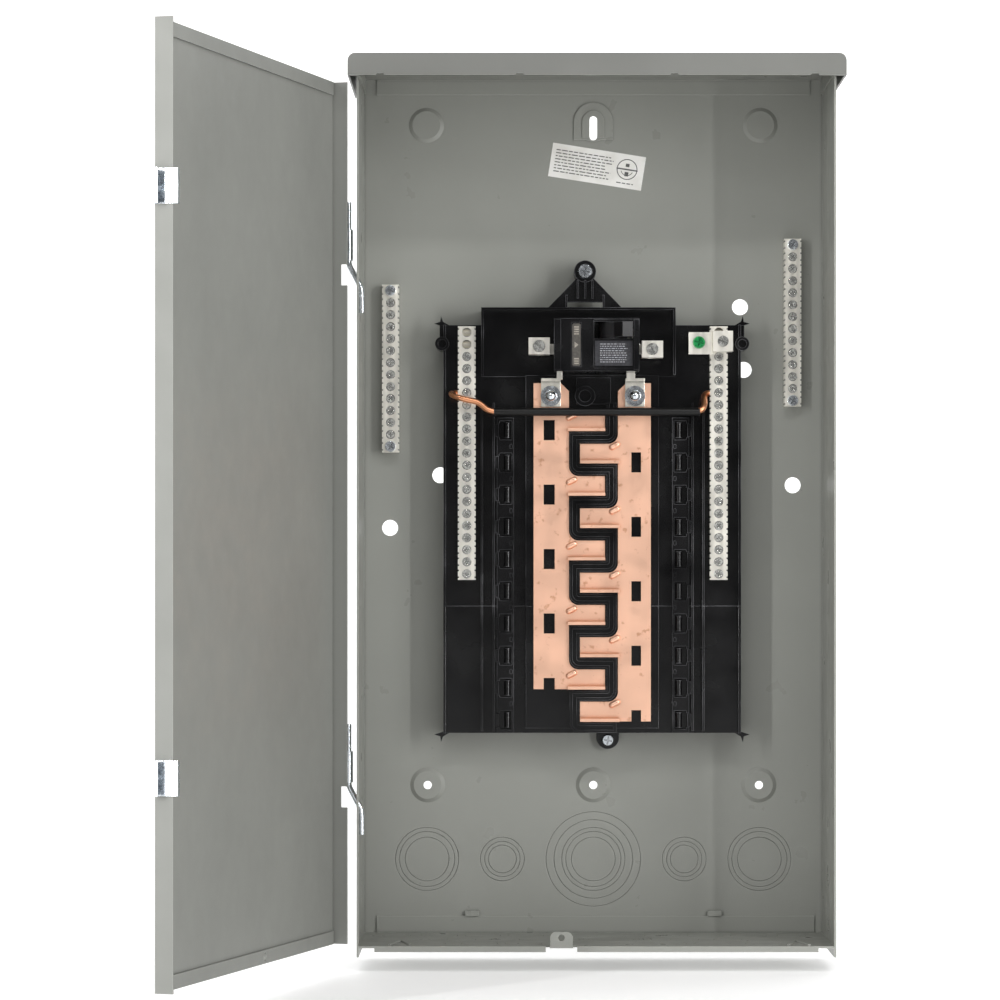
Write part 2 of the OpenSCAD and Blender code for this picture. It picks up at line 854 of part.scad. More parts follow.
// Cross shaft with a moving contact arm in each pole
module contact_arms() {
    color("#b07d52") {
        round_x(brk_x0 + 0.2, brk_x1 - 0.2, arm_out, arm_z, pin_r);
        for (x = arm_x) {
            difference() {
                block(x, x + arm_w, arm_out - 1.5, arm_out + 1.5, arm_z, arm_z + arm_reach);
                block(x + 2, x + 4, arm_out - 2, arm_out + 2, arm_z + 7, arm_z + 14);
            }
            round_x(x, x + arm_w, arm_out, arm_z, 4);
        }
    }
}

// Fixed contacts, led out through the case to stand under the line lugs
module line_straps() {
    color("#c8c6bf")
    for (i = [0, 1]) {
        side = i == 0 ? -1 : 1;
        inner = i == 0 ? brk_x0 + 3 : brk_x1 - 3;
        tip = i == 0 ? arm_x[0] + arm_w : arm_x[1];
        far = lug_x[i] + side * lug_w / 2;
        block(min(far, inner), max(far, inner), 44, 46, 122, 130);
        block(min(inner, inner - side * 2), max(inner, inner - side * 2), 32.2, 46, 122, 142);
        block(min(inner, tip), max(inner, tip), 32.2, arm_out - 1.5 - contact_gap, 134, 142);
    }
}

// Stepped straps from the breaker down onto the bus
module load_straps() {
    seat = bus_bed_out + bus_t;
    color("#c8c6bf")
    for (i = [0, 1]) {
        x = load_x[i];
        difference() {
            union() {
                block(x - load_w / 2, x + load_w / 2, seat, seat + strap_t, 81, 103);
                block(x - load_w / 2, x + load_w / 2, seat, 47, 101, 103);
                block(load_tab[i][0], load_tab[i][1], 45, 47, 102, brk_z0 + 5);
            }
            round_y(x, load_screw_z, seat - 1, seat + 3, 2.7);
        }
    }
}

module strap_screws() {
    seat = bus_bed_out + bus_t + strap_t;
    color("#b9bbbd")
    for (x = load_x) {
        round_y(x, load_screw_z, seat, seat + 1.2, 8);
        round_y(x, load_screw_z, seat + 1.2, seat + 2.8, 5.2);
        intersection() {
            translate([x, -seat - 1.8, load_screw_z]) sphere(r = 4.6);
            block(x - 9, x + 9, seat + 2, seat + 9, load_screw_z - 9, load_screw_z + 9);
        }
    }
}

module line_lugs() {
    color("#d3d1cb")
    for (i = [0, 1])
        difference() {
            block(lug_x[i] - lug_w / 2, lug_x[i] + lug_w / 2, lug_out0, lug_out1,
                lug_z[i] - lug_h / 2, lug_z[i] + lug_h / 2);
            round_z(lug_x[i], lug_bore_out, lug_z[i] - 9, lug_z[i] + 9, lug_bore_r);
            round_y(lug_x[i], lug_z[i], lug_bore_out, lug_out1 + 1, 4.8);
        }
}

// Slotted set screws, standing just proud of their lugs
module lug_screws() {
    color("#b3b1aa")
    for (i = [0, 1])
        set_screw(lug_x[i], lug_z[i], 58.2, lug_out1 + 0.6, 4.6, i == 0 ? 40 : 65);
}

module set_screw(x, z, out0, out1, r, turn) {
    difference() {
        round_y(x, z, out0, out1, r);
        translate([x, -out1, z])
            rotate([0, turn, 0])
                cube([2 * r + 2, 2.4, 1.2], center = true);
    }
}

// ---- terminal bars ----

// A bar with a cross hole and a screw hole at every position
module terminal_bar(x, top, width, count, out0, out1) {
    bottom = top - screw_pitch * count;
    difference() {
        block(x - width / 2, x + width / 2, out0, out1, bottom, top);
        for (i = [0 : count - 1]) {
            z = top - screw_pitch * (i + 0.5);
            round_x(x - width, x + width, out0 + 3.4, z, wire_hole_r);
            round_y(x, z, out0 + 3, out1 + 1, term_hole_r);
            for (side = [-1, 1])
                for (dz = [-notch_dz, notch_dz])
                    block(x + side * width / 2 - notch_in, x + side * width / 2 + notch_in,
                        out0 - 1, out1 + 1, z + dz - notch_h / 2, z + dz + notch_h / 2);
        }
    }
}

// Terminal screws: a shank that fills the hole, a slimmer top and a crossed recess
module terminal_screws(x, top, count, skip, out0, out1) {
    for (i = [0 : count - 1])
        if (i >= skip) {
            z = top - screw_pitch * (i + 0.5);
            difference() {
                union() {
                    round_y(x, z, out0, out1 - 2, term_hole_r - 0.02);
                    round_y(x, z, out0, out1, term_r);
                }
                translate([x, -out1, z])
                    for (a = [20, 110])
                        rotate([0, a + 13 * i, 0])
                            cube([4, 2.4, 1.1], center = true);
            }
        }
}

module neutral_bar_left() {
    color("#d4d2cb")
    terminal_bar(neutral_left_x, neutral_top, neutral_w, neutral_count, deck_out, bar_out);
}

module neutral_bar_right() {
    color("#d4d2cb")
    terminal_bar(neutral_right_x, neutral_top, neutral_w, neutral_count, deck_out, bar_out);
}

module neutral_screws() {
    color("#b8b6ae") {
        terminal_screws(neutral_left_x, neutral_top, neutral_count, 2, 33.2, bar_out + 0.4);
        terminal_screws(neutral_right_x, neutral_top, neutral_count, 2, 33.2, bar_out + 0.4);
    }
}

// The lug for the service neutral, seated on the right bar
module neutral_lug() {
    color("#d6d4cd")
    difference() {
        block(93.2, 108.7, bar_out, 50, 124, 140.2);
        round_z(101, 42, 120, 142, 4.3);
        round_y(101, 132, 42, 51, 4.4);
    }
}

module neutral_lug_screw() {
    color("#b3b1aa") set_screw(101, 132, 46.6, 50.5, 4.2, 20);
}

module bonding_plate() {
    color("#d6d4cd")
    difference() {
        union() {
            block(74.3, 93, 40, 42, 122.2, 139.6);
            block(91, 93, bar_out, 42, 122.2, 139.6);
        }
        round_y(82.4, 131.5, 38, 44, 3.2);
    }
}

module bonding_screw() {
    color("#1f7a3a")
    difference() {
        union() {
            round_y(82.4, 131.5, deck_out, 42, 3);
            round_y(82.4, 131.5, 42, 44.6, 5, 4.4);
        }
        translate([82.4, -44.8, 131.5])
            for (a = [15, 105]) rotate([0, a, 0]) cube([7, 2.4, 1.1], center = true);
    }
}

// Bare copper jumper: from a hole in the left neutral bar, over that bar and across to a hole
// in the right one, its middle in a sleeve
module cross_wire() {
    color("#b8683f") swept_tube(wire_route, wire_r, 12);
}

module wire_sleeve() {
    color("#101010")
    difference() {
        round_x(-76, 80, wire_out, wire_z, sleeve_r);
        round_x(-77, 81, wire_out, wire_z, wire_r + 0.02);
    }
}

module ground_bar_left() {
    color("#d4d2cb")
    terminal_bar(ground_left[0], ground_left[1], ground_w, ground_count, sheet, ground_out);
}

module ground_bar_right() {
    color("#d4d2cb")
    terminal_bar(ground_right[0], ground_right[1], ground_w, ground_count, sheet, ground_out);
}

module ground_screws() {
    color("#b8b6ae")
    for (g = [ground_left, ground_right])
        terminal_screws(g[0], g[1], ground_count - 1, 1, 8.8, ground_out + 0.4);
}

// The two larger screws that hold each ground bar to the back
module ground_bar_screws() {
    color("#a9aaa6")
    for (g = [ground_left, ground_right])
        for (i = [0.5, ground_count - 0.5])
            difference() {
                round_y(g[0], g[1] - screw_pitch * i, ground_out, ground_out + 3, 4.6, 4);
                translate([g[0], -ground_out - 3, g[1] - screw_pitch * i])
                    for (a = [30, 120]) rotate([0, a, 0]) cube([6, 2.4, 1.1], center = true);
            }
}

// Screws that hold the moulded base to the back
module base_screws() {
    color("#a9b3b8") {
        base_screw(bracket_x, bracket_z, bracket_out + 6, 6);
        base_screw(foot_x, foot_tab_z, 8, 5);
    }
}

module base_screw(x, z, seat, head_r) {
    difference() {
        union() {
            round_y(x, z, sheet, seat, 2.4);
            round_y(x, z, seat, seat + 3.4, head_r, head_r - 1);
        }
        translate([x, -seat - 3.4, z])
            for (a = [10, 100]) rotate([0, a, 0]) cube([head_r * 1.3, 3, 1.3], center = true);
    }
}

module circuit_label() {
    color("#ecebe6")
    translate([3, -sheet, 274])
        rotate([0, 9, 0])
            translate([-37.5, -0.3, -13.5])
                cube([75, 0.3, 27]);
}

// ---- assembly ----

enclosure_wrapper();
bottom_endwall();
top_endwall();
rain_hood();
hinge_rods();
door_panel();
door_knuckles();
door_catches();
upper_base();
lower_base();
hook_rail_left();
hook_rail_right();
bus_left();
bus_right();
bus_barrier();
breaker_base();
breaker_cover();
breaker_handle();
handle_pin();
contact_arms();
line_straps();
load_straps();
strap_screws();
line_lugs();
lug_screws();
neutral_bar_left();
neutral_bar_right();
neutral_screws();
neutral_lug();
neutral_lug_screw();
bonding_plate();
bonding_screw();
cross_wire();
wire_sleeve();
ground_bar_left();
ground_bar_right();
ground_screws();
ground_bar_screws();
base_screws();
circuit_label();
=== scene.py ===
import json
import math
import random

import bmesh
import bpy
from mathutils import Matrix, Vector


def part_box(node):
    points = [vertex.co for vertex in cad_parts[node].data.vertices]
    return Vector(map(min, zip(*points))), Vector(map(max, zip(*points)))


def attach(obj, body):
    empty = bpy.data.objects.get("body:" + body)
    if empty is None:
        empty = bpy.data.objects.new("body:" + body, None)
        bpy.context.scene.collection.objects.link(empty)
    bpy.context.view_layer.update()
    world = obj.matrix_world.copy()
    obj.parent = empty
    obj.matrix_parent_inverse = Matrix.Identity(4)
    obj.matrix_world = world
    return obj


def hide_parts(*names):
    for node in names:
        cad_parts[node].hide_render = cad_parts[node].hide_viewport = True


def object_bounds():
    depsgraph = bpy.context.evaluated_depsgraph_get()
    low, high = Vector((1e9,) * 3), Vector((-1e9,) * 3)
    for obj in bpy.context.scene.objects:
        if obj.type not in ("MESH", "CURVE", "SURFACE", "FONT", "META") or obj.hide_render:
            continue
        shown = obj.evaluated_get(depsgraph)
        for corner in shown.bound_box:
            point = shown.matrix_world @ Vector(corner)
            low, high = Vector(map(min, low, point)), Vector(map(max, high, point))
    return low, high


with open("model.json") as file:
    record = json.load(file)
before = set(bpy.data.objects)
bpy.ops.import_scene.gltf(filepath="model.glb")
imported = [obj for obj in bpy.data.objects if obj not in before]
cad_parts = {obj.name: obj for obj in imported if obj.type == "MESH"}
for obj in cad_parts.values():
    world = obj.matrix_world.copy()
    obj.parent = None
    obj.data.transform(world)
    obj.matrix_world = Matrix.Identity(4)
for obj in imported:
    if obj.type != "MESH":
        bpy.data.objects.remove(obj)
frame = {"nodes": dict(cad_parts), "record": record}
CAD_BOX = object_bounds()
NODES = frame["nodes"]
MM = 0.001

# Lens, distance and framing of the studio camera
BOX_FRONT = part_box("enclosure_wrapper")[0].y
CAMERA_GAP = 3.0
FRAME_WIDTH = 0.767
EYE = Vector((-0.064, BOX_FRONT - CAMERA_GAP, -0.050))
SHIFT = (-0.013, 0.073)
SENSOR_WIDTH = 36.0
VIEW_DEPTH = 30


# ---- small tools ----

def mesh_object(name, bm, material, body="box", bevel=0.0):
    """Links a bmesh as a finished piece that rides on a body."""
    mesh = bpy.data.meshes.new(name)
    bm.normal_update()
    bm.to_mesh(mesh)
    bm.free()
    mesh.materials.append(material)
    obj = bpy.data.objects.new(name, mesh)
    bpy.context.scene.collection.objects.link(obj)
    if bevel:
        soften(obj, bevel)
    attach(obj, body)
    return obj


def soften(obj, width, segments=2, angle=35):
    """Rounds an object's sharp edges by a small bevel."""
    weld = obj.modifiers.new("weld", "WELD")
    weld.merge_threshold = 0.00001
    bevel = obj.modifiers.new("edges", "BEVEL")
    bevel.width = width
    bevel.segments = segments
    bevel.limit_method = "ANGLE"
    bevel.angle_limit = math.radians(angle)
    bevel.miter_outer = "MITER_ARC"
    normals = obj.modifiers.new("normals", "WEIGHTED_NORMAL")
    normals.keep_sharp = True
    normals.weight = 100


def tube(name, routes, radius, material, body="box"):
    """Smooth round wires, one for each list of points."""
    curve = bpy.data.curves.new(name, "CURVE")
    curve.dimensions = "3D"
    curve.bevel_depth = radius
    curve.bevel_resolution = 6
    curve.use_fill_caps = True
    for points in routes:
        spline = curve.splines.new("NURBS")
        spline.points.add(len(points) - 1)
        for point, place in zip(spline.points, points):
            point.co = (*(Vector(place) * MM), 1.0)
        spline.order_u = 4
        spline.use_endpoint_u = True
        spline.resolution_u = 8
    curve.materials.append(material)
    obj = bpy.data.objects.new(name, curve)
    bpy.context.scene.collection.objects.link(obj)
    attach(obj, body)
    return obj


# ---- material tools ----

class Shader:
    """A Principled material and the few nodes that its detail is built from."""

    def __init__(self, name, color, roughness, metallic=0.0, specular=0.5):
        self.material = bpy.data.materials.new(name)
        self.material.use_nodes = True
        self.tree = self.material.node_tree
        self.bsdf = self.tree.nodes["Principled BSDF"]
        self.bsdf.inputs["Base Color"].default_value = (*color, 1)
        self.bsdf.inputs["Roughness"].default_value = roughness
        self.bsdf.inputs["Metallic"].default_value = metallic
        self.bsdf.inputs["Specular IOR Level"].default_value = specular
        self.coords = self.node("ShaderNodeTexCoord").outputs["Object"]
        self.height = None

    def node(self, kind, **values):
        made = self.tree.nodes.new(kind)
        for key, value in values.items():
            setattr(made, key, value)
        return made

    def link(self, a, b):
        self.tree.links.new(a, b)

    def noise(self, scale, detail=3.0, stretch=(1, 1, 1), rough=0.5):
        """Solid noise in the piece's own space."""
        mapping = self.node("ShaderNodeMapping")
        mapping.inputs["Scale"].default_value = stretch
        self.link(self.coords, mapping.inputs["Vector"])
        noise = self.node("ShaderNodeTexNoise")
        noise.inputs["Scale"].default_value = scale
        noise.inputs["Detail"].default_value = detail
        noise.inputs["Roughness"].default_value = rough
        self.link(mapping.outputs["Vector"], noise.inputs["Vector"])
        return noise.outputs["Fac"]

    def ramp(self, value, low, high, out_low=0.0, out_high=1.0):
        """Spreads a stretch of values over another, and holds it at both ends."""
        spread = self.node("ShaderNodeMapRange")
        spread.inputs["From Min"].default_value = low
        spread.inputs["From Max"].default_value = high
        spread.inputs["To Min"].default_value = out_low
        spread.inputs["To Max"].default_value = out_high
        self.link(value, spread.inputs["Value"])
        return spread.outputs["Result"]

    def mix(self, factor, a, b):
        """Blends two colours, each given as a tuple or as a node's output."""
        mixer = self.node("ShaderNodeMix", data_type="RGBA")
        self.link(factor, mixer.inputs["Factor"])
        for socket, value in ((mixer.inputs["A"], a), (mixer.inputs["B"], b)):
            if isinstance(value, tuple):
                socket.default_value = (*value, 1)
            else:
                self.link(value, socket)
        return mixer.outputs["Result"]

    def color(self, source):
        self.link(source, self.bsdf.inputs["Base Color"])

    def roughness(self, source):
        self.link(source, self.bsdf.inputs["Roughness"])

    def bump(self, value, strength, distance):
        """Adds relief on top of any that is there already."""
        made = self.node("ShaderNodeBump")
        made.inputs["Strength"].default_value = strength
        made.inputs["Distance"].default_value = distance
        self.link(value, made.inputs["Height"])
        if self.height is not None:
            self.link(self.height, made.inputs["Normal"])
        self.height = made.outputs["Normal"]
        self.link(self.height, self.bsdf.inputs["Normal"])


    def rim(self, reach=0.6 * MM):
        """How near a point is to an outer edge of its own piece."""
        deep = self.node("ShaderNodeAmbientOcclusion", only_local=True, inside=True, samples=8)
        deep.inputs["Distance"].default_value = reach
        return self.ramp(deep.outputs["AO"], 0.6, 0.9, 1.0, 0.0)

    def recess(self, reach=3 * MM, depth=0.8):
        """How shut in a point is, within its own piece."""
        shut = self.node("ShaderNodeAmbientOcclusion", only_local=True, samples=8)
        shut.inputs["Distance"].default_value = reach
        return self.ramp(shut.outputs["AO"], 0.45, 0.95, depth, 0.0)


def shade(color, factor):
    return tuple(c * factor for c in color)


# ---- materials ----

def enamel(name, color, roughness=0.34):
    """Semi-gloss baked enamel: faint blotches, orange peel and dust, with painted shade in its
    recesses and painted highlights along its edges.
    """
    s = Shader(name, color, roughness, specular=0.45)
    tone = s.mix(s.ramp(s.noise(7, 2), 0.35, 0.65), shade(color, 0.95), shade(color, 1.04))
    dust = s.ramp(s.noise(120, 6), 0.58, 0.8, 0.0, 0.12)
    tone = s.mix(dust, tone, shade(color, 1.15))
    # Painted shade: the enamel is darkened in the piece's own recesses.
    tone = s.mix(s.recess(3 * MM, 0.5), tone, shade(color, 0.45))
    # Painted highlight: the enamel is lightened along the piece's outer edges.
    s.color(s.mix(s.ramp(s.rim(), 0, 1, 0, 0.5), tone, shade(color, 1.7)))
    s.roughness(s.ramp(s.noise(45, 4), 0.3, 0.7, roughness - 0.05, roughness + 0.07))
    s.bump(s.noise(700, 2), 0.10, 0.0004)
    s.bump(s.noise(12, 1), 0.10, 0.004)
    return s.material


def plated(name, color, roughness=0.3, grain=(1, 1, 1), metallic=1.0, recess_shade=0.45):
    """Plated or bare metal with drawn grain, faint stains, and painted shade in its recesses."""
    s = Shader(name, color, roughness, metallic=metallic)
    grain_noise = s.noise(260, 4, stretch=grain)
    tone = s.mix(s.ramp(grain_noise, 0.3, 0.7), shade(color, 0.9), shade(color, 1.05))
    stain = s.ramp(s.noise(55, 5), 0.52, 0.72, 0.0, 0.25)
    tone = s.mix(stain, tone, shade(color, 0.78))
    # Painted shade: the metal is darkened in its own recesses and holes.
    s.color(s.mix(s.recess(3 * MM, recess_shade), tone, shade(color, 0.12)))
    s.roughness(s.ramp(grain_noise, 0.3, 0.7, roughness - 0.06, roughness + 0.08))
    s.bump(grain_noise, 0.12, 0.0002)
    return s.material


def bus_metal(name, color, stain):
    """Bare copper sheet: soft heat blotches, small dark specks and browned edges."""
    s = Shader(name, color, 0.42, metallic=0.9)
    tone = s.mix(s.ramp(s.noise(24, 4), 0.42, 0.7, 0.0, 0.45), color, shade(color, 0.86))
    tone = s.mix(s.ramp(s.noise(170, 5), 0.62, 0.72, 0.0, 0.55), tone, stain)
    tone = s.mix(s.recess(3 * MM, 0.7), tone, stain)
    s.color(tone)
    s.roughness(s.ramp(s.noise(60, 4), 0.3, 0.7, 0.36, 0.5))
    s.bump(s.noise(420, 4, stretch=(1, 1, 0.2)), 0.15, 0.0002)
    return s.material


def moulding(name, color, roughness=0.22, specular=0.22):
    """Glossy black moulding with a fine grain, flow marks, scuffs, a little dust and painted glints
    along its edges.
    """
    s = Shader(name, color, roughness, specular=specular)
    scuff = s.ramp(s.noise(90, 8, rough=0.7), 0.62, 0.78, 0.0, 0.04)
    tone = s.mix(scuff, color, (0.1, 0.1, 0.11))
    # Painted highlight: patchy lighter grey along the outer edges stands for glints.
    painted_edge_glint = s.mix(s.ramp(s.noise(28, 4), 0.42, 0.62, 0.1, 0.8), tone, (0.17, 0.17, 0.18))
    s.color(s.mix(s.rim(), tone, painted_edge_glint))
    s.roughness(s.ramp(s.noise(30, 5), 0.3, 0.7, roughness - 0.06, roughness + 0.14))
    s.bump(s.noise(1500, 2), 0.06, 0.0002)
    s.bump(s.noise(22, 2), 0.1, 0.002)
    return s.material


def printed(name, color, speck):
    """Smooth printed film with a little ink mottle."""
    s = Shader(name, color, 0.5)
    s.color(s.mix(s.ramp(s.noise(600, 3), 0.35, 0.7), color, speck))
    s.roughness(s.ramp(s.noise(80, 3), 0.3, 0.7, 0.4, 0.6))
    s.bump(s.noise(900, 2), 0.05, 0.0002)
    return s.material


def paper(name):
    """White label stock, slightly yellowed and creased."""
    s = Shader(name, (0.80, 0.79, 0.76), 0.55)
    s.color(s.mix(s.ramp(s.noise(40, 4), 0.45, 0.8), (0.82, 0.81, 0.78), (0.62, 0.60, 0.55)))
    s.roughness(s.ramp(s.noise(60, 3), 0.3, 0.7, 0.45, 0.62))
    s.bump(s.noise(900, 3), 0.1, 0.0002)
    s.bump(s.noise(30, 2), 0.15, 0.001)
    return s.material


def floor_paint():
    """Pale matt sweep that glows a little, so that it stays even."""
    s = Shader("floor_paint", (0.93, 0.93, 0.93), 0.6)
    s.color(s.mix(s.noise(2, 2), (0.91, 0.91, 0.91), (0.95, 0.95, 0.95)))
    s.bsdf.inputs["Emission Color"].default_value = (1, 1, 1, 1)
    s.bsdf.inputs["Emission Strength"].default_value = 0.3
    return s.material


BOX_PAINT = enamel("box_paint", (0.275, 0.280, 0.256), 0.32)
DOOR_PAINT = enamel("door_paint", (0.216, 0.220, 0.203), 0.52)
# The hood's enamel is a darker copy of the box's, painted shade for the grazing light on its lip.
SHADED_HOOD_PAINT = enamel("shaded_hood_paint", (0.150, 0.152, 0.141), 0.45)
BASE_PLASTIC = moulding("base_plastic", (0.0028, 0.0028, 0.0032), 0.17, 0.38)
BREAKER_PLASTIC = moulding("breaker_plastic", (0.0034, 0.0034, 0.004), 0.19, 0.38)
HANDLE_PLASTIC = moulding("handle_plastic", (0.011, 0.0105, 0.0115), 0.3, 0.3)
SLEEVE_PLASTIC = moulding("sleeve_plastic", (0.005, 0.005, 0.005), 0.4, 0.3)
COPPER = bus_metal("bus_copper", (0.98, 0.60, 0.43), (0.55, 0.22, 0.10))
BARE_COPPER = plated("bare_copper", (0.80, 0.36, 0.19), 0.3, (0.1, 1, 1))
# The tinned bars get strong painted shade in their recesses and holes.
TINNED = plated("tinned", (0.90, 0.87, 0.79), 0.38, (1, 1, 0.1), 0.9, 0.95)
ZINC = plated("zinc", (0.76, 0.80, 0.84), 0.22)
SCREW_METAL = plated("screw_metal", (0.84, 0.84, 0.80), 0.24)
GREEN_SCREW = plated("green_screw", (0.02, 0.32, 0.09), 0.28, metallic=0.6)
LABEL_PAPER = paper("label_paper")
LABEL_INK = printed("label_ink", (0.05, 0.05, 0.05), (0.16, 0.16, 0.15))
STRIP_FILM = printed("strip_film", (0.055, 0.050, 0.044), (0.09, 0.083, 0.072))
STRIP_INK = printed("strip_ink", (0.36, 0.33, 0.28), (0.22, 0.20, 0.17))
PLATE_FILM = printed("plate_film", (0.012, 0.012, 0.016), (0.03, 0.03, 0.036))
PLATE_INK = printed("plate_ink", (0.42, 0.43, 0.46), (0.2, 0.2, 0.22))

SLOT_MATERIALS = {
    "box_paint": BOX_PAINT, "door_paint": DOOR_PAINT, "zinc": ZINC, "screw_metal": SCREW_METAL,
    "tinned": TINNED, "bus_copper": COPPER, "bare_copper": BARE_COPPER,
    "base_plastic": BASE_PLASTIC, "breaker_plastic": BREAKER_PLASTIC,
    "handle_plastic": HANDLE_PLASTIC, "sleeve_plastic": SLEEVE_PLASTIC,
    "green_screw": GREEN_SCREW, "label_paper": LABEL_PAPER,
}

# How far each kind of part's sharp edges are rounded
EDGE_ROUNDING = {
    "box_paint": 0.45, "door_paint": 0.5, "zinc": 0.15, "screw_metal": 0.12, "tinned": 0.25,
    "bus_copper": 0.35, "base_plastic": 0.5, "breaker_plastic": 0.5, "handle_plastic": 1.0,
    "sleeve_plastic": 0.1, "green_screw": 0.2, "bare_copper": 0.0, "label_paper": 0.0,
}

# Rounding would crease the flat face of these
SHARP_NODES = {"door_panel"}


def dress_cad():
    """Gives every carried-over CAD node its material and softened edges."""
    for part in frame["record"]["subparts"]:
        obj = NODES[part["node"]]
        slot = part["material_slot"]
        for holder in obj.material_slots:
            holder.material = SLOT_MATERIALS[slot]
        if EDGE_ROUNDING[slot] and part["node"] not in SHARP_NODES:
            soften(obj, EDGE_ROUNDING[slot] * MM)
    # Painted shade: the hood takes the darker copy of the enamel.
    for holder in NODES["rain_hood"].material_slots:
        holder.material = SHADED_HOOD_PAINT


# ---- pieces ----

def build_wire():
    """The bare jumper with smooth bends, and its sleeve."""
    hole_y, high_y, low_z = -30.4, -46.0, 76.7
    wire_radius, sleeve_radius = 2.35 * MM, 3.2 * MM
    route = [(-103, hole_y, 92.2), (-108, hole_y, 92.2), (-112.5, hole_y - 1, 92),
        (-113, -40, 91), (-109, high_y - 1, 88.5), (-100, high_y, 86), (-90, high_y, 84.5),
        (-85, high_y, 78), (-78, high_y, low_z), (-60, high_y, low_z), (0, high_y, low_z),
        (60, high_y, low_z), (78, high_y, low_z), (85.5, high_y, low_z + 1), (87, -42, 84),
        (86.5, -33, 91), (89, hole_y, 92.2), (96, hole_y, 92.2)]
    wire = tube("copper_jumper", [route], wire_radius, BARE_COPPER)
    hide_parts("cross_wire")
    ripple, ripple_length = 0.5, 19
    cover = [(x, high_y - ripple * math.sin(x / ripple_length), low_z) for x in range(-79, 84, 9)]
    sleeve = tube("jumper_sleeve", [cover], sleeve_radius, SLEEVE_PLASTIC)
    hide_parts("wire_sleeve")


def build_hinge_rods():
    """The two bent-rod hinge pins with their real, smooth joggles."""
    axis_x, tail_x, rod_y = -190.5, -180.5, -112.65
    rod_radius = 2.25 * MM
    upper_foot, lower_foot = 188, -213
    routes = []
    for foot in (upper_foot, lower_foot):
        rise = [(axis_x, rod_y, foot + z) for z in (47, 30, 14, 5)]
        joggle = [(axis_x, rod_y, foot - 1), (axis_x + 3, rod_y, foot - 6),
            (tail_x - 3, rod_y, foot - 14), (tail_x, rod_y, foot - 19)]
        tail = [(tail_x, rod_y, foot - z) for z in (25, 38)]
        routes.append(rise + joggle + tail)
    rods = tube("bent_hinge_rods", routes, rod_radius, ZINC)
    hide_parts("hinge_rods")


def flat_piece(name, material, outlines, place, thick=0.05 * MM):
    """Thin printed shapes: outlines in metres on a plane facing the front."""
    bm = bmesh.new()
    for outline in outlines:
        front = [bm.verts.new(place @ Vector((x, -thick, z))) for x, z in outline]
        back = [bm.verts.new(place @ Vector((x, 0, z))) for x, z in outline]
        bm.faces.new(front)
        bm.faces.new(back[::-1])
        for a in range(len(front)):
            b = (a + 1) % len(front)
            bm.faces.new((front[b], front[a], back[a], back[b]))
    bmesh.ops.recalc_face_normals(bm, faces=bm.faces)
    piece = mesh_object(name, bm, material)
    return piece


def oblong(x, z, w, h):
    return [(x, z), (x + w, z), (x + w, z + h), (x, z + h)]


def chamfered(x, z, w, h, cut):
    """An oblong with its corners cut off."""
    return [(x, z + cut), (x + cut, z), (x + w - cut, z), (x + w, z + cut), (x + w, z + h - cut),
        (x + w - cut, z + h), (x + cut, z + h), (x, z + h - cut)]


def print_rows(rng, x0, x1, z_top, rows, pitch, height, word=(1.5, 5.0), gap=0.9):
    """Rows of short bars that stand for print, with ragged ends."""
    bars = []
    for row in range(rows):
        x = x0
        end = x1 - rng.uniform(0, 0.14) * (x1 - x0)
        while x < end:
            w = min(rng.uniform(*word), end - x)
            bars.append(oblong(x, z_top - row * pitch, w, height))
            x += w + gap
    return bars


def arc_band(cx, cz, r0, r1, a0, a1, steps=20):
    """Quads of a flat ring between two radii and two angles."""
    turn = [math.radians(a0 + (a1 - a0) * i / steps) for i in range(steps + 1)]
    return [[(cx + r * math.cos(a), cz + r * math.sin(a)) for r, a in
        ((r0, turn[i]), (r1, turn[i]), (r1, turn[i + 1]), (r0, turn[i + 1]))]
        for i in range(steps)]


def in_metres(outlines):
    """The same outlines, given in millimetres."""
    return [[(x * MM, z * MM) for x, z in outline] for outline in outlines]


def build_box_label():
    """Generic print on the white label: rows of bars and a round diagram."""
    rng = random.Random(11)
    bars = print_rows(rng, -34, 13, 8.2, 8, 2.45, 0.8)
    bars += arc_band(24, 1.5, 7.6, 8.3, 0, 360, 36)
    bars += arc_band(24, 1.5, 4.6, 5.1, 200, 340)
    bars += [oblong(15.5, 0.9, 17, 1.1), oblong(22.5, -4, 3, 3.4), oblong(22.5, 3.5, 3, 2.6)]
    bars += print_rows(rng, 17, 31, -10.2, 1, 2.4, 0.8)
    low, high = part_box("circuit_label")
    centre = (low + high) / 2
    place = (Matrix.Translation((centre.x, low.y, centre.z))
        @ Matrix.Rotation(math.radians(9), 4, "Y"))
    flat_piece("label_print", LABEL_INK, in_metres(bars), place)


def build_breaker_print():
    """The rating strip and the rating plate of the main breaker."""
    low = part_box("breaker_cover")[0]
    face_y = low.y + 3.3 * MM
    strip_thick, plate_thick = 0.4 * MM, 0.3 * MM
    corner = Matrix.Translation((low.x, face_y, low.z))
    rng = random.Random(5)
    strip = chamfered(14.2, 4, 6.6, 33.2, 1)
    flat_piece("rating_strip", STRIP_FILM, in_metres([strip]), corner, strip_thick)
    marks = [oblong(15.6, z, 3.8, 1.1) for z in (5.5, 7.3, 9.1, 28.5, 30.3, 32.1, 33.9)]
    marks += [[(16, 18), (19, 20.5), (16, 23)]]
    raised = corner @ Matrix.Translation((0, -strip_thick, 0))
    flat_piece("rating_strip_marks", STRIP_INK, in_metres(marks), raised)
    plate = oblong(32, 4.2, 29.4, 19.6)
    flat_piece("rating_plate", PLATE_FILM, in_metres([plate]), corner, plate_thick)
    specks = print_rows(rng, 36, 58, 20.8, 9, 1.75, 0.7, (0.7, 2.4), 0.6)
    raised = corner @ Matrix.Translation((0, -plate_thick, 0))
    flat_piece("rating_plate_print", PLATE_INK, in_metres(specks), raised)


# ---- stage ----

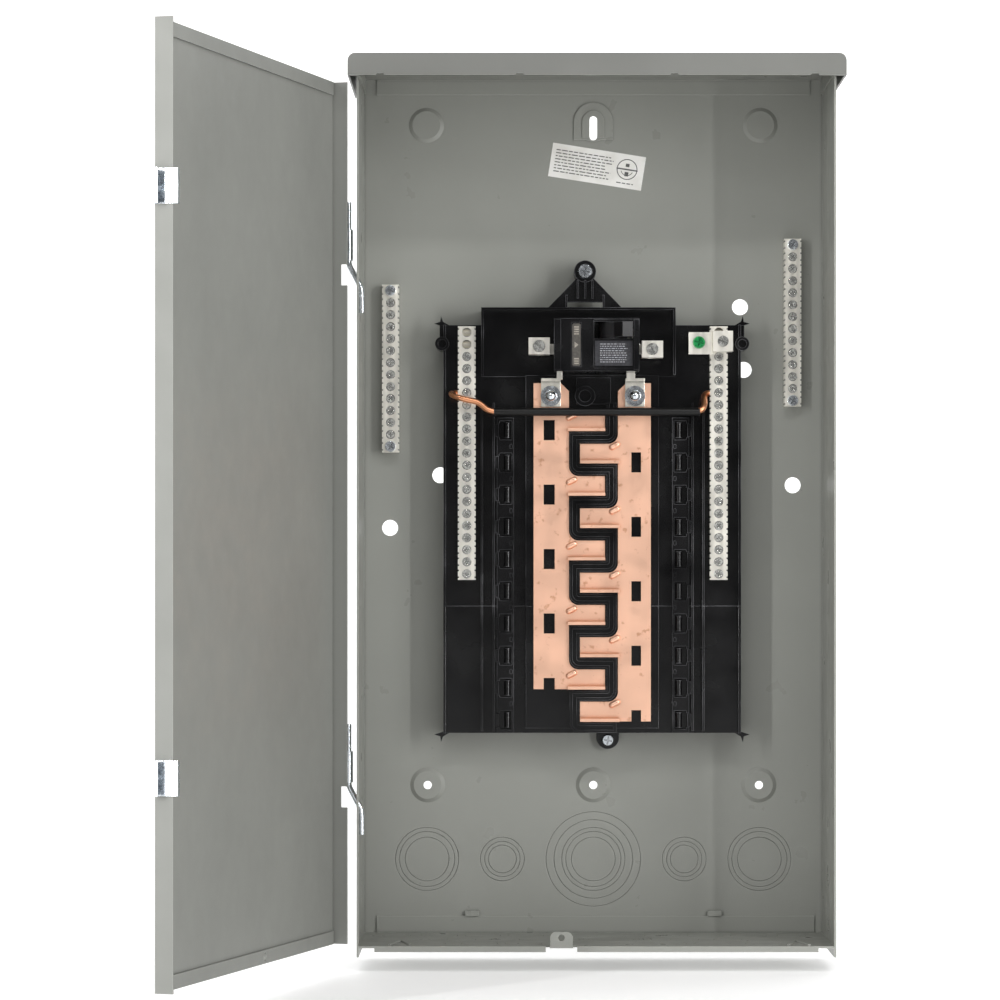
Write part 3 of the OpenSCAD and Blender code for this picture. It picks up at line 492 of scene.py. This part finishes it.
def build_stage():
    """A pale sweep: floor, curve and backdrop in one sheet."""
    gap_below = 12 * MM
    floor_z = CAD_BOX[0][2] - gap_below
    half, near, far, height, bend = 14.0, -14.0, 3.0, 5.0, 1.2
    bend_steps = 12
    profile = [(near, floor_z), (far - bend, floor_z)]
    for step in range(1, bend_steps + 1):
        turn = step * math.pi / 2 / bend_steps
        profile.append((far - bend + bend * math.sin(turn), floor_z + bend - bend * math.cos(turn)))
    profile.append((far, floor_z + height))
    bm = bmesh.new()
    rows = [[bm.verts.new((x, y, z)) for y, z in profile] for x in (-half, half)]
    for i in range(len(profile) - 1):
        bm.faces.new((rows[0][i], rows[0][i + 1], rows[1][i + 1], rows[1][i]))
    mesh = bpy.data.meshes.new("floor")
    bm.to_mesh(mesh)
    bm.free()
    mesh.materials.append(floor_paint())
    floor = bpy.data.objects.new("floor", mesh)
    for face in mesh.polygons:
        face.use_smooth = True
    bpy.context.scene.collection.objects.link(floor)


def add_light(name, place, aim, size, power):
    """A soft box light aimed at a point."""
    light = bpy.data.lights.new(name, "AREA")
    light.shape = "RECTANGLE"
    light.size, light.size_y = size
    light.energy = power
    obj = bpy.data.objects.new(name, light)
    obj.location = place
    obj.visible_camera = False
    direction = Vector(aim) - Vector(place)
    obj.rotation_euler = direction.to_track_quat("-Z", "Y").to_euler()
    bpy.context.scene.collection.objects.link(obj)


def build_lights():
    """Soft boxes above and to the sides, and narrow strips for glints along edges."""
    middle = (0, -0.06, 0)
    add_light("top_soft", (0.0, -2.9, 2.1), middle, (3.6, 1.3), 24)
    add_light("left_soft", (-2.4, -2.3, 0.2), middle, (1.2, 2.2), 50)
    add_light("right_soft", (2.5, -2.3, 0.2), middle, (1.2, 2.2), 48)
    add_light("left_strip", (-1.3, -1.7, 0.5), middle, (0.05, 1.4), 12)
    add_light("right_strip", (1.4, -1.8, 0.4), middle, (0.05, 1.4), 12)
    add_light("top_strip", (0.2, -1.7, 1.6), middle, (1.4, 0.05), 9)
    add_light("backdrop_soft", (0, 1.0, 2.6), (0, 3.0, 0.6), (4.0, 1.0), 60)
    world = bpy.data.worlds.new("studio")
    world.use_nodes = True
    sky = world.node_tree.nodes["Background"]
    sky.inputs["Color"].default_value = (1, 1, 1, 1)
    sky.inputs["Strength"].default_value = 0.12
    bpy.context.scene.world = world


def build_camera():
    """A level camera in front of the box, a little left of its middle."""
    data = bpy.data.cameras.new("camera")
    data.sensor_width = SENSOR_WIDTH
    data.lens = SENSOR_WIDTH * CAMERA_GAP / FRAME_WIDTH
    data.shift_x, data.shift_y = SHIFT
    data.clip_end = VIEW_DEPTH
    camera = bpy.data.objects.new("camera", data)
    camera.location = EYE
    camera.rotation_euler = (math.radians(90), 0, 0)
    bpy.context.scene.collection.objects.link(camera)
    bpy.context.scene.camera = camera


build_camera()
build_stage()
build_lights()
dress_cad()
build_wire()
build_hinge_rods()
build_box_label()
build_breaker_print()
bpy.context.scene.view_settings.view_transform = "Standard"
